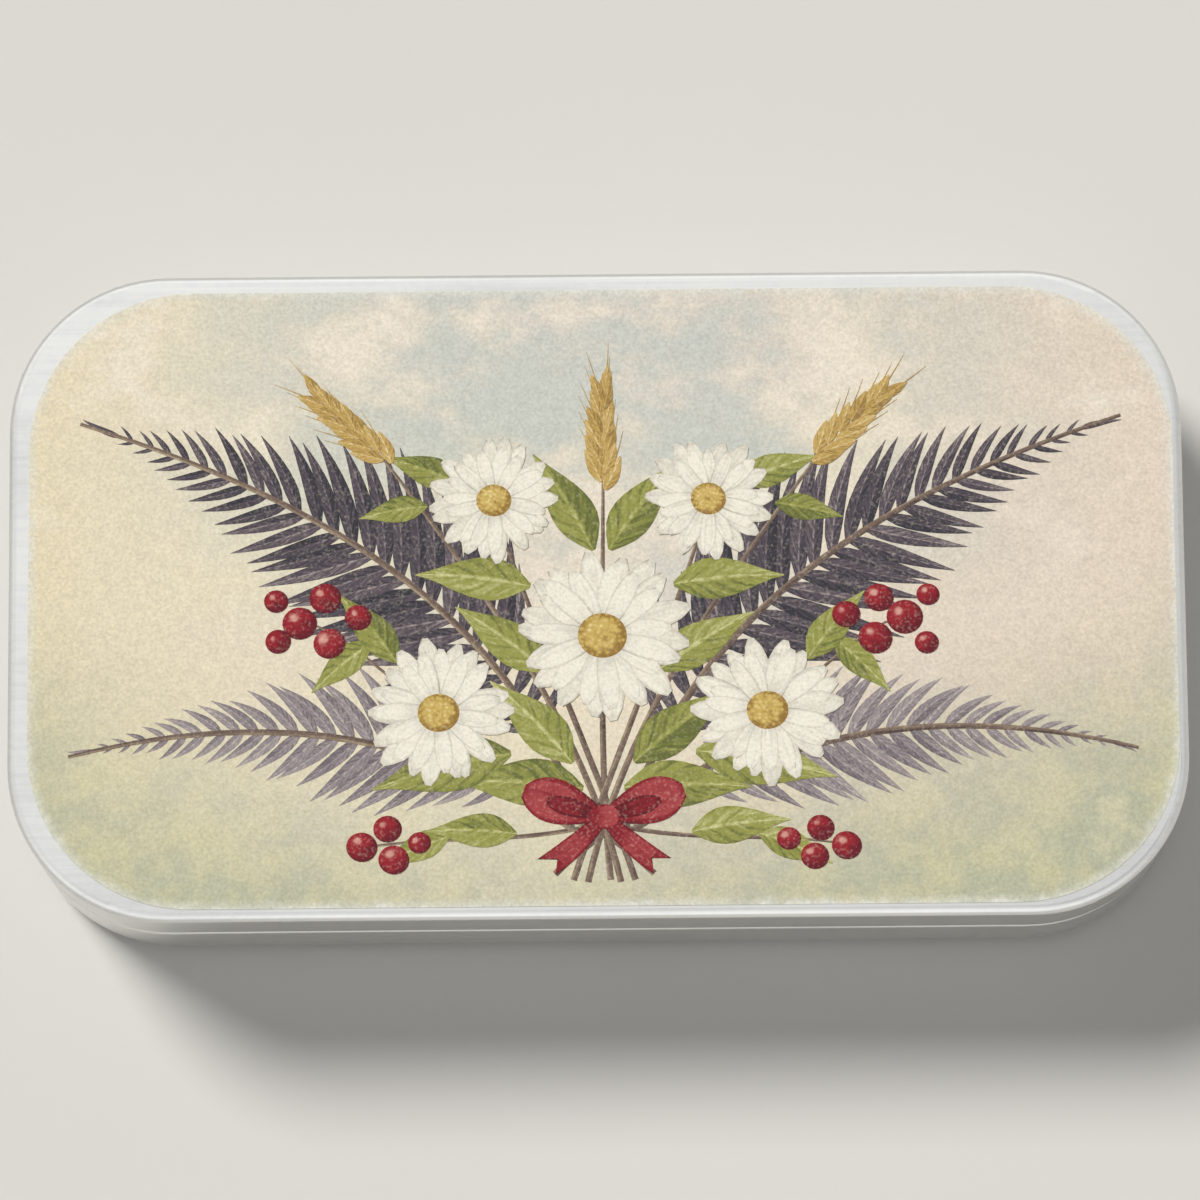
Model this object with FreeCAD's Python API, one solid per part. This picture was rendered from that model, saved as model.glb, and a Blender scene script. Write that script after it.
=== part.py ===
"""Hinged tin box: a drawn tinplate base and lid, a wire hinge and a paper label on the lid.

Sizes are in millimetres. X runs along the tin, the lid opens at the front (-Y), the hinge is
at the back (+Y), and the tin stands on Z = 0 with the origin under its middle.

Walls are drawn as sections of bent sheet. A section is measured outwards from the centre of a
plan corner, so the same section turns round the four corners and runs along the four sides.
"""

import FreeCAD
import Part

import math
import os

Vector = FreeCAD.Vector
UP = Vector(0, 0, 1)
ORIGIN = Vector(0, 0, 0)
QUARTER_TURN = 90.0
HALF_TURN = 180.0
OVERRUN = 0.5

# The closed tin
LENGTH = 115.0
WIDTH = 64.0
HEIGHT = 21.0
CORNER_R = 15.5
SHEET = 0.25

# The base: floor panel on a stand ring, wall, shoulder, neck and a hemmed rim
BASE_EDGE_R = 2.2
BASE_EDGE_FLAT_COUNT = 3
STAND_WIDTH = 2.0
PANEL_RISE = 0.5
PANEL_STEP_DEG = 45.0
SHOULDER_BEND_R = 0.4
SHOULDER_FLAT_COUNT = 1
HEADROOM = 1.6
HEM_DEPTH = 1.8
HEM_CHAMFER = 0.12

# The lid, whose skirt ends in an inward roll
LID_DEPTH = 9.0
LID_EDGE_R = 0.9
LID_EDGE_FLAT_COUNT = 2
LID_CURL_DEG = 290.0
ROLL_FLAT_COUNT = 6
SEAM_GAP = 0.3
LID_FIT_GAP = 0.5

# The hinge: a wire in the lid's back roll, held by two hooks lanced from the base
WIRE_D = 1.0
WIRE_END_GAP = 5.0
WIRE_ROLL_GAP = 0.02
HOOK_GAP = 0.06
HOOK_WIDTH = 9.0
HOOK_FROM_WIRE_END = 12.0
HOOK_WRAP_DEG = 240.0
LANCE_GAP = 0.5
LANCE_CORNER_R = 0.4

# The paper label, stuck on by hand a little off centre
LABEL_INSET = 0.55
LABEL_CORNER_EASE = 1.95
LABEL_THICKNESS = 0.2
LABEL_SHIFT_X = 0.5
LABEL_SHIFT_Y = -0.3

# Plan: the corner centres are the corners of the core rectangle
CORE_X = LENGTH / 2 - CORNER_R
CORE_Y = WIDTH / 2 - CORNER_R
WALL_OUT = CORNER_R - SHEET / 2

# Hinge axis: the middle of the roll along the lid's lower edge
CURL_BEND_R = WIRE_D / 2 + WIRE_ROLL_GAP
ROLL_R = CURL_BEND_R + SHEET
LID_EDGE_Z = HEIGHT - LID_DEPTH
HINGE_OUT = CORNER_R - ROLL_R
HINGE_Y = CORE_Y + HINGE_OUT
HINGE_Z = LID_EDGE_Z + ROLL_R
ROLL_TOP_Z = HINGE_Z + ROLL_R
WIRE_LENGTH = 2 * (CORE_X - WIRE_END_GAP)

# Shoulder and neck of the base, which the lid closes over
SHOULDER_Z = LID_EDGE_Z - SEAM_GAP
SHOULDER_MID_Z = SHOULDER_Z - SHEET / 2
SHOULDER_FLAT_OUT = WALL_OUT - SHOULDER_BEND_R - SHEET / 2
NECK_OUT = WALL_OUT - 2 * ROLL_R - LID_FIT_GAP
RIM_Z = HEIGHT - SHEET - HEADROOM

# Hook: it rises from the shoulder and wraps over the wire
HOOK_BEND_R = WIRE_D / 2 + HOOK_GAP
HOOK_MID_R = HOOK_BEND_R + SHEET / 2
HOOK_OUT = HINGE_OUT - HOOK_MID_R
HOOK_RISE = HINGE_Z - SHOULDER_MID_Z
HOOK_X = WIRE_LENGTH / 2 - HOOK_FROM_WIRE_END
HOOK_PLACES = (-HOOK_X, HOOK_X)
LANCE_WIDTH = HOOK_WIDTH + 2 * LANCE_GAP


class SheetSection:
    """A section through bent sheet: a middle line of runs, folds and bends, in (out, up)."""

    def __init__(self, out, up, heading_deg):
        self.out = out
        self.up = up
        self.heading = math.radians(heading_deg)
        self.first_points = self.edge_points()
        self.pens = self.first_points
        self.run_is_open = False
        self.edges = []

    def edge_points(self, stretch=1):
        """The points half a sheet, times stretch, to the left and right of the middle line."""
        across_out = -math.sin(self.heading) * stretch * SHEET / 2
        across_up = math.cos(self.heading) * stretch * SHEET / 2
        left = Vector(self.out + across_out, 0, self.up + across_up)
        right = Vector(self.out - across_out, 0, self.up - across_up)
        return left, right

    def end_run(self, points):
        """Draw both faces of the flat stretch, if there is one, up to these points."""
        if self.run_is_open:
            for pen, point in zip(self.pens, points):
                self.edges.append(Part.LineSegment(pen, point).toShape())
        self.pens = points
        self.run_is_open = False

    def run(self, length):
        """A flat stretch of that length, which the next fold or bend ends."""
        self.out += length * math.cos(self.heading)
        self.up += length * math.sin(self.heading)
        self.run_is_open = True
        return self

    def fold(self, degrees):
        """A sharp fold, mitred on both faces; positive degrees turn left."""
        half_angle = math.radians(degrees) / 2
        self.heading += half_angle
        self.end_run(self.edge_points(1 / math.cos(half_angle)))
        self.heading += half_angle
        return self

    def turn(self, mid_r, angle):
        """Move the middle line round an arc without drawing it; a positive angle turns left."""
        side = math.copysign(1, angle)
        centre_out = self.out - side * mid_r * math.sin(self.heading)
        centre_up = self.up + side * mid_r * math.cos(self.heading)
        self.heading += angle
        self.out = centre_out + side * mid_r * math.sin(self.heading)
        self.up = centre_up - side * mid_r * math.cos(self.heading)

    def bend(self, inside_r, degrees, inside_flats=0):
        """A round bend with that inside radius; positive degrees turn left.

        Its inside face is round too, or made of that many flats where it is out of sight.
        """
        mid_r = inside_r + SHEET / 2
        half_flats = 2 * max(inside_flats, 1)
        self.end_run(self.edge_points())
        stops = [self.pens]
        for _ in range(half_flats):
            self.turn(mid_r, math.radians(degrees) / half_flats)
            stops.append(self.edge_points())
        self.pens = stops[-1]
        inside, outside = zip(*stops) if degrees > 0 else reversed(list(zip(*stops)))
        self.edges.append(Part.Arc(outside[0], outside[half_flats // 2], outside[-1]).toShape())
        if inside_flats:
            self.edges += Part.makePolygon(inside[::2]).Edges
        else:
            self.edges.append(Part.Arc(*inside).toShape())
        return self

    def face(self, end_edges=None):
        """The closed section: end_edges shape its far end, and without them it is cut square."""
        self.end_run(self.edge_points())
        first_edge = Part.LineSegment(*self.first_points).toShape()
        end_edges = end_edges or [Part.LineSegment(*self.pens).toShape()]
        edges = self.edges + [first_edge] + end_edges
        return Part.Face(Part.Wire(Part.__sortEdges__(edges)))


def lines_through(points):
    """The straight edges through (out, up) points of a section."""
    return Part.makePolygon([Vector(out, 0, up) for out, up in points]).Edges


def one_solid(pieces):
    """The single solid that touching pieces make."""
    fused = pieces[0].multiFuse(pieces[1:]).removeSplitter()
    assert len(fused.Solids) == 1, "the pieces don't meet"
    return fused.Solids[0]


def drawn_pan(section, back_section, panel_z):
    """A pan drawn from one sheet: the sections carried round the plan, closed by a flat panel.

    The back section runs along the straight back, and the other one everywhere else.
    """
    pieces = [Part.makeBox(2 * CORE_X, 2 * CORE_Y, SHEET, Vector(-CORE_X, -CORE_Y, panel_z))]
    corners = [(CORE_X, -CORE_Y), (CORE_X, CORE_Y), (-CORE_X, CORE_Y), (-CORE_X, -CORE_Y)]
    side_sections = [section, back_section, section, section]
    for index, (x, y) in enumerate(corners):
        centre = Vector(x, y, 0)
        corner_start = section.rotated(ORIGIN, UP, QUARTER_TURN * (index - 1)).translated(centre)
        pieces.append(corner_start.revolve(centre, UP, QUARTER_TURN))
        side_start = side_sections[index].rotated(ORIGIN, UP, QUARTER_TURN * index).translated(centre)
        next_x, next_y = corners[(index + 1) % len(corners)]
        pieces.append(side_start.extrude(Vector(next_x - x, next_y - y, 0)))
    return one_solid(pieces)


def at_the_back(section, middle_x, width):
    """A section at the back wall, carried along X for a width that is centred on middle_x."""
    start = Vector(middle_x - width / 2, CORE_Y, 0)
    return section.rotated(ORIGIN, UP, QUARTER_TURN).translated(start).extrude(Vector(width, 0, 0))


def punched_block(middle_x, inner_out, outer_out, bottom_z, top_z):
    """The material that a punch takes from the back wall, with rounded top corners."""
    corner = Vector(middle_x - LANCE_WIDTH / 2, CORE_Y + inner_out, bottom_z)
    block = Part.makeBox(LANCE_WIDTH, outer_out - inner_out, top_z - bottom_z, corner)
    through_edges = [edge for edge in block.Edges if edge.tangentAt(edge.FirstParameter).y != 0]
    top_edges = [edge for edge in through_edges if edge.CenterOfMass.z > block.CenterOfMass.z]
    return block.makeFillet(LANCE_CORNER_R, top_edges)


def rim_hem():
    """The end of the neck, turned down flat inside it so that the rim is two sheets thick."""
    outer = NECK_OUT + SHEET / 2
    inner = outer - 2 * SHEET
    low_z = RIM_Z - HEM_DEPTH
    chamfer_z = RIM_Z - HEM_CHAMFER
    return lines_through(
        [
            (outer, low_z),
            (outer, chamfer_z),
            (outer - HEM_CHAMFER, RIM_Z),
            (inner + HEM_CHAMFER, RIM_Z),
            (inner, chamfer_z),
            (inner, low_z),
            (NECK_OUT - SHEET / 2, low_z),
        ]
    )


def base_section():
    """Floor panel, stand ring, wall, shoulder, neck and hemmed rim of the base."""
    step_slope = math.radians(PANEL_STEP_DEG)
    step_width = PANEL_RISE / math.tan(step_slope)
    panel_out = CORNER_R - BASE_EDGE_R - STAND_WIDTH - step_width
    wall_top_z = SHOULDER_MID_Z - SHOULDER_BEND_R - SHEET / 2

    section = SheetSection(0, PANEL_RISE + SHEET / 2, 0)
    section.run(panel_out).fold(-PANEL_STEP_DEG)
    section.run(PANEL_RISE / math.sin(step_slope)).fold(PANEL_STEP_DEG)
    section.run(STAND_WIDTH).bend(BASE_EDGE_R - SHEET, QUARTER_TURN, BASE_EDGE_FLAT_COUNT)
    section.run(wall_top_z - BASE_EDGE_R).bend(SHOULDER_BEND_R, QUARTER_TURN, SHOULDER_FLAT_COUNT)
    section.run(SHOULDER_FLAT_OUT - NECK_OUT).fold(-QUARTER_TURN)
    section.run(RIM_Z - HEM_DEPTH - SHOULDER_MID_Z)
    return section.face(rim_hem())


def hook_section():
    """A tongue of the shoulder that rises beside the wire and wraps over it."""
    section = SheetSection(SHOULDER_FLAT_OUT, SHOULDER_MID_Z, HALF_TURN)
    section.run(SHOULDER_FLAT_OUT - HOOK_OUT).fold(-QUARTER_TURN)
    section.run(HOOK_RISE).bend(HOOK_BEND_R, -HOOK_WRAP_DEG)
    return section.face()


def make_base():
    """The base, with its two hinge hooks lanced out of the neck.

    Each window in the neck is as tall as the tongue that was bent out of it.
    """
    section = base_section()
    base = drawn_pan(section, section, PANEL_RISE)
    tongue_length = HOOK_RISE + HOOK_MID_R * math.radians(HOOK_WRAP_DEG)
    window_top_z = SHOULDER_MID_Z + tongue_length - (HOOK_OUT - NECK_OUT)
    for x in HOOK_PLACES:
        inner_out = NECK_OUT - SHEET / 2 - OVERRUN
        outer_out = HOOK_OUT - SHEET / 2
        bottom_z = SHOULDER_Z - SHEET - OVERRUN
        base = base.cut(punched_block(x, inner_out, outer_out, bottom_z, window_top_z))
    hooks = [at_the_back(hook_section(), x, HOOK_WIDTH) for x in HOOK_PLACES]
    return one_solid([base] + hooks)


def lid_skirt(low_z):
    """Top panel, rounded edge and skirt of the lid, down to low_z."""
    section = SheetSection(0, HEIGHT - SHEET / 2, 0)
    section.run(CORNER_R - LID_EDGE_R).bend(LID_EDGE_R - SHEET, -QUARTER_TURN, LID_EDGE_FLAT_COUNT)
    return section.run(HEIGHT - LID_EDGE_R - low_z)


def closed_roll():
    """The roll along the lid's lower edge where it holds no wire, pressed shut above."""
    step = math.radians(HALF_TURN) / ROLL_FLAT_COUNT
    below = [
        (HINGE_OUT + ROLL_R * math.cos(index * step), HINGE_Z - ROLL_R * math.sin(index * step))
        for index in range(ROLL_FLAT_COUNT + 1)
    ]
    chamfer = ROLL_R * math.tan(math.radians(QUARTER_TURN / 4))
    above = [
        (HINGE_OUT - ROLL_R, HINGE_Z + chamfer),
        (HINGE_OUT - chamfer, ROLL_TOP_Z),
        (CORNER_R - SHEET, ROLL_TOP_Z),
    ]
    return lines_through([(CORNER_R, ROLL_TOP_Z)] + below + above)


def make_lid():
    """The lid, with two notches in its back edge that bare the wire for the hooks."""
    section = lid_skirt(ROLL_TOP_Z).face(closed_roll())
    wired_section = lid_skirt(HINGE_Z).bend(CURL_BEND_R, -LID_CURL_DEG).face()
    lid = drawn_pan(section, wired_section, HEIGHT - SHEET)
    notch_top_z = HINGE_Z + HOOK_BEND_R + SHEET + LANCE_GAP
    for x in HOOK_PLACES:
        inner_out = HINGE_OUT - ROLL_R - OVERRUN
        outer_out = CORNER_R + OVERRUN
        lid = lid.cut(punched_block(x, inner_out, outer_out, LID_EDGE_Z - OVERRUN, notch_top_z))
    return one_solid([lid])


def make_hinge_wire():
    """The steel wire that lies in the lid's roll along the back."""
    start = Vector(-WIRE_LENGTH / 2, HINGE_Y, HINGE_Z)
    return Part.makeCylinder(WIRE_D / 2, WIRE_LENGTH, start, Vector(1, 0, 0))


def make_lid_label():
    """The printed paper label on the lid's flat panel, with rounder corners than the lid."""
    margin = LID_EDGE_R + LABEL_INSET
    length = LENGTH - 2 * margin
    width = WIDTH - 2 * margin
    corner = Vector(LABEL_SHIFT_X - length / 2, LABEL_SHIFT_Y - width / 2, HEIGHT)
    plate = Part.makeBox(length, width, LABEL_THICKNESS, corner)
    upright_edges = [edge for edge in plate.Edges if edge.tangentAt(edge.FirstParameter).z != 0]
    return plate.makeFillet(CORNER_R - margin + LABEL_CORNER_EASE, upright_edges)


def main():
    os.makedirs("parts", exist_ok=True)
    nodes = {
        "base": make_base(),
        "lid": make_lid(),
        "hinge_wire": make_hinge_wire(),
        "lid_label": make_lid_label(),
    }
    for name, shape in nodes.items():
        assert shape.isValid(), name
        shape.exportStep(f"parts/{name}.step")
        print(f"{name}: {len(shape.Solids)} solid, {shape.Volume:.1f} mm3, {len(shape.Faces)} faces")
    print(f"hinge axis y {HINGE_Y:.3f} z {HINGE_Z:.3f}, shoulder {SHOULDER_Z:.3f}, rim {RIM_Z:.3f}")


if __name__ == "__main__":
    main()
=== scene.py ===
"""Looks of a hinged tin box: satin tinplate, a steel hinge wire and a printed paper label.

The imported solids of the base, the lid and the wire stay and get their metal here. The label's
solid gives way to a sheet of paper, and the print lies on it as thin films of ink, one film to a
kind of shape. Blender's lengths are metres. The printed shapes are drawn in millimetres from the
middle of the label, and in degrees, and MM turns their sizes into metres. What is called a play
is the range that a small random difference is drawn from.
"""

import logging
import math
import random
from collections.abc import Callable, Iterator
from contextlib import contextmanager
from dataclasses import dataclass, field
from enum import Enum
from typing import Any

import bmesh
import bpy
from mathutils import Matrix, Vector


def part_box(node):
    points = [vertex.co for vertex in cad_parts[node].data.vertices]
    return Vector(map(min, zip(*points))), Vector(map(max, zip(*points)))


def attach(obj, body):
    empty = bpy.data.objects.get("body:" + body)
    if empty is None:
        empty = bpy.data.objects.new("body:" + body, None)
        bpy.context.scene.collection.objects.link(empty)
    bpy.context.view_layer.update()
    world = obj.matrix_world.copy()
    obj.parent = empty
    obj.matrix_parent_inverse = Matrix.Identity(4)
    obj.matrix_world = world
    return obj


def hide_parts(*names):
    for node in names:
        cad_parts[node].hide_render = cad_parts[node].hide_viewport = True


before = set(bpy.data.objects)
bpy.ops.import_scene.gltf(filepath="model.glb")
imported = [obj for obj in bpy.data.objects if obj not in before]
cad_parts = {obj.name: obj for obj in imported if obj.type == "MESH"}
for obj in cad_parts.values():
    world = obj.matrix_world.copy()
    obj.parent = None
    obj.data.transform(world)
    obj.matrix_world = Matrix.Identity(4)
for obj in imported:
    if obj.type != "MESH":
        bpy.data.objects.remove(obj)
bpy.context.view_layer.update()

MM = 0.001
LOG = logging.getLogger("tin_box")
Colour = tuple[float, float, float, float]
Triple = tuple[float, float, float]
Spot = tuple[float, float]
Shares = tuple[float, ...]
Piece = bpy.types.Object
Socket = bpy.types.NodeSocket


def colour(code: str) -> Colour:
    """Turn a written colour into the linear one that shaders take.

    Args:
        code: Six hex digits, red first.

    Returns:
        Linear red, green, blue and an alpha of one.
    """
    parts = [int(code[start:start + 2], 16) / 255 for start in (0, 2, 4)]
    linear = [part / 12.92 if part <= 0.04045 else ((part + 0.055) / 1.055) ** 2.4 for part in parts]
    return (linear[0], linear[1], linear[2], 1.0)


class Term:
    """A value socket that joins in Python arithmetic by adding Math nodes."""

    def __init__(self, board: "NodeBoard", socket: Socket) -> None:
        """Keep the board that adds nodes and the socket that gives the value."""
        self.board = board
        self.socket = socket

    def __add__(self, other: "Term | float") -> "Term":
        """Add."""
        return self.board.maths("ADD", self, other)

    __radd__ = __add__

    def __sub__(self, other: "Term | float") -> "Term":
        """Take away."""
        return self.board.maths("SUBTRACT", self, other)

    def __rsub__(self, other: float) -> "Term":
        """Take this value from a number."""
        return self.board.maths("SUBTRACT", other, self)

    def __mul__(self, other: "Term | float") -> "Term":
        """Multiply."""
        return self.board.maths("MULTIPLY", self, other)

    __rmul__ = __mul__

    def __truediv__(self, other: "Term | float") -> "Term":
        """Divide."""
        return self.board.maths("DIVIDE", self, other)

    def __abs__(self) -> "Term":
        """The size without the sign."""
        return self.board.maths("ABSOLUTE", self)

    def __pow__(self, exponent: float) -> "Term":
        """Raise to a power."""
        return self.board.maths("POWER", self, exponent)

    def sine(self) -> "Term":
        """The sine of an angle in radians."""
        return self.board.maths("SINE", self)

    def most(self, other: "Term | float") -> "Term":
        """The larger of two values."""
        return self.board.maths("MAXIMUM", self, other)

    def rise(self, low: float, high: float) -> "Term":
        """A smooth step.

        Args:
            low: Where the step leaves zero.
            high: Where it reaches one; below low, the step falls instead.

        Returns:
            Zero before the step and one after it.
        """
        if low > high:
            return 1.0 - self.rise(high, low)
        settings = {"interpolation_type": "SMOOTHSTEP", "clamp": True}
        inputs = {"Value": self, "From Min": low, "From Max": high}
        return self.board.term("ShaderNodeMapRange", settings, inputs)


class NodeBoard:
    """The nodes of one material or of the world, with the shader that they end in."""

    def __init__(self, owner: bpy.types.Material | bpy.types.World, shader: str) -> None:
        """Turn an owner's nodes on.

        Args:
            owner: The material or world.
            shader: The name of the shader node that it starts with.
        """
        owner.use_nodes = True
        self.owner = owner
        self.tree = owner.node_tree
        self.shader = self.tree.nodes[shader]

    @classmethod
    def for_material(cls, name: str) -> "NodeBoard":
        """Start a new material."""
        return cls(bpy.data.materials.new(name), "Principled BSDF")

    @classmethod
    def for_world(cls, name: str) -> "NodeBoard":
        """Start a new world."""
        return cls(bpy.data.worlds.new(name), "Background")

    @staticmethod
    def pick(sockets: Any, key: str | int) -> Socket:
        """Find a socket in use.

        Args:
            sockets: A node's inputs or outputs.
            key: The socket's place or name.

        Returns:
            The socket.
        """
        if isinstance(key, int):
            return sockets[key]
        return next(socket for socket in sockets if socket.name == key and socket.enabled)

    def feed(self, socket: Socket, value: Any) -> None:
        """Link a socket to another one, or set its value.

        Args:
            socket: The socket to feed.
            value: A term, a socket or a plain value.
        """
        source = value.socket if isinstance(value, Term) else value
        if isinstance(source, Socket):
            self.tree.links.new(source, socket)
        else:
            socket.default_value = source

    def node(self, kind: str, settings: dict[str, Any], inputs: dict[Any, Any]) -> bpy.types.Node:
        """Add any node.

        Args:
            kind: The node's type.
            settings: Its properties, set before its sockets.
            inputs: Values or links by socket name or place.

        Returns:
            The new node.
        """
        made = self.tree.nodes.new(kind)
        for key, value in settings.items():
            setattr(made, key, value)
        for key, value in inputs.items():
            self.feed(self.pick(made.inputs, key), value)
        return made

    def term(
        self, kind: str, settings: dict[str, Any], inputs: dict[Any, Any], out: str | int = 0
    ) -> Term:
        """Add a node and take one of its values."""
        return Term(self, self.pick(self.node(kind, settings, inputs).outputs, out))

    def maths(self, operation: str, *operands: Term | float) -> Term:
        """Add a Math node on some values."""
        return self.term("ShaderNodeMath", {"operation": operation}, dict(enumerate(operands)))

    def mix(self, share: Term | float, first: Any, second: Any, blend: str = "MIX") -> Socket:
        """Mix two colours.

        Args:
            share: How much of the second colour.
            first: A colour or a colour socket.
            second: A colour or a colour socket.
            blend: How the second colour lies on the first.

        Returns:
            The mixed colour's socket.
        """
        settings = {"data_type": "RGBA", "blend_type": blend, "clamp_factor": True}
        made = self.node("ShaderNodeMix", settings, {"Factor": share, "A": first, "B": second})
        return self.pick(made.outputs, "Result")

    def place(self) -> Socket:
        """The point on the piece, in metres."""
        return self.pick(self.node("ShaderNodeTexCoord", {}, {}).outputs, "Object")

    def stretched(self, point: Socket, scale: Triple) -> Socket:
        """A point with its three parts scaled."""
        made = self.node("ShaderNodeVectorMath", {"operation": "MULTIPLY"}, {0: point, 1: scale})
        return self.pick(made.outputs, "Vector")

    def parts(self, point: Socket) -> tuple[Term, Term, Term]:
        """The three values of a point."""
        made = self.node("ShaderNodeSeparateXYZ", {}, {0: point})
        return Term(self, made.outputs[0]), Term(self, made.outputs[1]), Term(self, made.outputs[2])

    def joined(self, x: Any, y: Any, z: Any) -> Socket:
        """A point from three values."""
        return self.node("ShaderNodeCombineXYZ", {}, {0: x, 1: y, 2: z}).outputs[0]

    def noise(self, point: Socket, scale: float, detail: float = 2.0, rough: float = 0.5) -> Term:
        """Cloudy noise, about a half on average.

        Args:
            point: Where it is read.
            scale: Clouds to a unit of the point.
            detail: Octaves of finer noise.
            rough: The strength of the finer noise.

        Returns:
            The noise value.
        """
        inputs = {"Vector": point, "Scale": scale, "Detail": detail, "Roughness": rough}
        return self.term("ShaderNodeTexNoise", {"noise_dimensions": "3D"}, inputs)

    def cells(self, point: Socket, scale: float) -> Term:
        """The distance to the nearest of scattered spots."""
        inputs = {"Vector": point, "Scale": scale}
        return self.term("ShaderNodeTexVoronoi", {"feature": "F1"}, inputs, "Distance")

    def bump(self, height: Term, strength: float, distance: float) -> None:
        """Give the shader a bump.

        Args:
            height: The bump's height, as a share of the distance.
            strength: How much of it shows.
            distance: The height of one, in metres.
        """
        inputs = {"Height": height, "Strength": strength, "Distance": distance}
        self.feed(self.shader.inputs["Normal"], self.node("ShaderNodeBump", {}, inputs).outputs[0])

    def dress(self, **inputs: Any) -> Any:
        """Set the shader's sockets.

        Args:
            **inputs: Values or links by socket name, with underscores for spaces.

        Returns:
            The material or world.
        """
        for key, value in inputs.items():
            self.feed(self.shader.inputs[key.replace("_", " ")], value)
        return self.owner


@dataclass(frozen=True)
class MetalFinish:
    """Rolled sheet or drawn wire: streaks along X, dull smudges, specks and hairline scratches.

    Scales count marks to the metre. The tone, rough and bump values of a mark say how strongly it
    shows in the colour, in the roughness and in the bump.
    """

    name: str
    tone: str
    dull_tone: str
    speck_tone: str
    roughness: float
    streak_scale: Triple
    smudge_share: float
    streak_tone: float = 0.7
    streak_rough: float = 0.16
    streak_bump: float = 0.5
    smudge_scale: float = 60.0
    smudge_stretch: Triple = (0.6, 1.0, 1.0)
    smudge_rough: float = 0.14
    bloom_scale: float = 1400.0
    bloom_tone: float = 0.35
    bloom_bump: float = 0.35
    speck_scale: float = 55.0
    speck_rim: Spot = (0.019, 0.012)
    speck_share: float = 0.8
    rag_scale: float = 2600.0
    rag_depth: float = 0.014
    hair_turns: Spot = (0.35, -1.1)
    hair_scale: Triple = (60.0, 6500.0, 6500.0)
    hair_patch_scale: float = 70.0
    hair_tone: float = 0.35
    hair_rough: float = 0.1
    hair_bump: float = 0.5
    bump_strength: float = 0.15
    bump_depth: float = 0.02 * MM

    def material(self) -> bpy.types.Material:
        """Build the metal.

        Returns:
            The finished material.
        """
        board = NodeBoard.for_material(self.name)
        point = board.place()
        streaks = board.noise(board.stretched(point, self.streak_scale), 1.0, 3.0, 0.6)
        smudges = board.noise(board.stretched(point, self.smudge_stretch), self.smudge_scale, 3.0)
        bloom = board.noise(point, self.bloom_scale, 2.0, 0.6)
        first, second = (self.scratches(board, point, turn) for turn in self.hair_turns)
        hair = first + second
        dull = smudges.rise(0.38, 0.8) * self.smudge_share
        cloud = dull + (streaks - 0.5) * self.streak_tone + (bloom - 0.5) * self.bloom_tone
        cloud = cloud + hair * self.hair_tone
        tint = board.mix(cloud, colour(self.tone), colour(self.dull_tone))
        specks = self.specks(board, point) * self.speck_share
        tint = board.mix(specks, tint, colour(self.speck_tone))
        rough = self.roughness + (streaks - 0.5) * self.streak_rough
        rough = rough + dull * self.smudge_rough + hair * self.hair_rough
        height = streaks * self.streak_bump + bloom * self.bloom_bump - hair * self.hair_bump
        board.bump(height, self.bump_strength, self.bump_depth)
        return board.dress(Base_Color=tint, Metallic=1.0, Roughness=rough)

    def specks(self, board: NodeBoard, point: Socket) -> Term:
        """Small dark specks where the tin coat is knocked."""
        ragged = board.noise(point, self.rag_scale, 2.0) * self.rag_depth
        return (board.cells(point, self.speck_scale) + ragged).rise(*self.speck_rim)

    def scratches(self, board: NodeBoard, point: Socket, turn: float) -> Term:
        """Sparse hairlines in one direction.

        Args:
            board: The material's nodes.
            point: The point on the piece.
            turn: The direction about Z, in radians.

        Returns:
            One on a scratch and zero beside it.
        """
        inputs = {"Vector": point, "Angle": turn}
        turned = board.node("ShaderNodeVectorRotate", {"rotation_type": "Z_AXIS"}, inputs)
        fine = board.noise(board.stretched(turned.outputs[0], self.hair_scale), 1.0, 1.0)
        patches = board.noise(point, self.hair_patch_scale, 1.0)
        return fine.rise(0.72, 0.79) * patches.rise(0.45, 0.65)


@dataclass(frozen=True)
class PaperGrain:
    """The fine tooth of the label's paper, shared by the paper and the ink on it."""

    fine_scale: float = 3300.0
    fine_share: float = 0.8
    coarse_scale: float = 660.0
    coarse_share: float = 0.2
    depth: float = 0.025 * MM
    bump_strength: float = 0.5
    shade: float = 0.62
    gloss_share: float = 0.25
    bare_tone: str = "D9D0BC"
    bare_from: Spot = (0.5, 0.72)

    def finish(self, board: NodeBoard, tint: Socket, gloss: float, bare: float) -> bpy.types.Material:
        """End a print material with the tooth in its colour, its gloss and its bump.

        Args:
            board: The material's nodes.
            tint: The colour before the tooth.
            gloss: The mean roughness.
            bare: How much of the paper shows where its tooth stands out of the ink.

        Returns:
            The finished material.
        """
        point = board.place()
        fine = board.noise(point, self.fine_scale, 1.5)
        coarse = board.noise(point, self.coarse_scale, 1.0)
        tooth = fine * self.fine_share + coarse * self.coarse_share
        tint = board.mix(tooth.rise(*self.bare_from) * bare, tint, colour(self.bare_tone))
        level = 1.0 + (tooth - 0.5) * self.shade
        toothed = board.mix(1.0, tint, board.joined(level, level, level), "MULTIPLY")
        board.bump(tooth, self.bump_strength, self.depth)
        return board.dress(Base_Color=toothed, Roughness=gloss + (tooth - 0.5) * self.gloss_share)


GRAIN = PaperGrain()


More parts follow.
